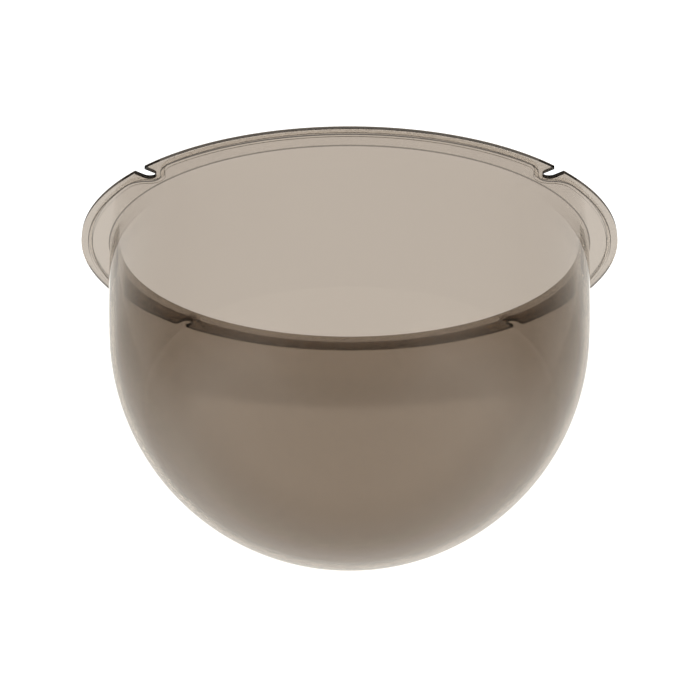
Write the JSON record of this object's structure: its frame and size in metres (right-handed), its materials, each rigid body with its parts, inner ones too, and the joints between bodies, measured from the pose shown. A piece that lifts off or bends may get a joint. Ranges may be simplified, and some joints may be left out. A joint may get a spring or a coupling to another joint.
{
  "type": "dome_cover",
  "caption": "Smoked see-through dome cover: a moulded hemisphere on a short neck, with a notched flange and a rim seal",
  "frame": {"origin": "Centre of the flange's flat clamp face, on the dome's axis", "axes": "+Z is the dome's axis, pointing away from the dome; the screw notches lie at 45 degrees to X and Y"},
  "size_m": [0.17, 0.17, 0.1023],
  "materials": {
    "smoked_plastic": "moulded, polished, see-through brown-grey tint",
    "seal_rubber": "smooth translucent strip"
  },
  "bodies": {
    "root": {"dome_shell": "smoked_plastic", "rim_seal": "seal_rubber"}
  },
  "joints": []
}
